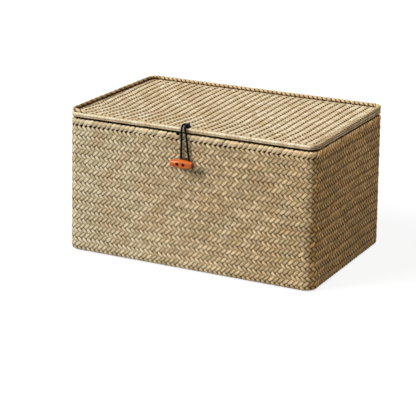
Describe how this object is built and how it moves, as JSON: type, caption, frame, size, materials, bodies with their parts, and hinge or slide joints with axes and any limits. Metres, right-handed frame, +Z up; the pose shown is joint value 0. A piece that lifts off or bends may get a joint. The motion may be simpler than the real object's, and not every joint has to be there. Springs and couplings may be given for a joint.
{
  "type": "woven lidded box",
  "caption": "Rectangular plaited seagrass box with a ribbed woven lid tied on at the back and a cord loop that hooks behind a wooden toggle.",
  "frame": {"origin": "centre of the flat underside of the basket", "axes": "+X along the length of the box, to the right as the toggle is faced; +Y from the toggle side to the hinge side; +Z up"},
  "size_m": [0.2, 0.1411, 0.1103],
  "materials": {
    "plaited_seagrass": "satin",
    "ribbed_seagrass": "satin",
    "seagrass_cord": "satin",
    "cane": "satin",
    "black_cord": "matte",
    "toggle_wood": "gloss"
  },
  "bodies": {
    "basket": {"basket_body": "plaited_seagrass", "basket_border": "plaited_seagrass", "mouth_hoop": "cane", "hinge_tie_left": "seagrass_cord", "hinge_tie_right": "seagrass_cord", "hinge_tie_knot_left": "seagrass_cord", "hinge_tie_knot_right": "seagrass_cord"},
    "lid": {"lid_panel": "ribbed_seagrass", "lid_rim_rope": "seagrass_cord", "lid_edge_strand_upper": "seagrass_cord", "lid_edge_strand_lower": "seagrass_cord", "loop_wrap_knot": "black_cord", "loop_stopper_knot": "black_cord"},
    "loop": {"closure_loop": "black_cord"},
    "toggle": {"toggle": "toggle_wood", "toggle_cord": "black_cord", "toggle_cord_knot": "black_cord"}
  },
  "joints": [
    {"name": "lid_hinge", "type": "hinge", "parent": "basket", "child": "lid", "pos_m": [0, 0.0656, 0.10337], "axis": [-1, 0, 0], "range_deg": [0, 180], "deforming": ["hinge_tie_left", "hinge_tie_right", "closure_loop"]},
    {"name": "loop_swing", "type": "hinge", "parent": "lid", "child": "loop", "pos_m": [-0.001, -0.0664, 0.10943], "axis": [-1, 0, 0], "range_deg": [-180, 0], "deforming": ["closure_loop"]},
    {"name": "toggle_turn", "type": "hinge", "parent": "basket", "child": "toggle", "pos_m": [-0.001, -0.0716, 0.0824], "axis": [0, 1, 0], "range_deg": [-90, 90]}
  ],
  "couplings": [
    {"joint": "loop_swing", "follows": "lid_hinge", "ratio": -1}
  ]
}
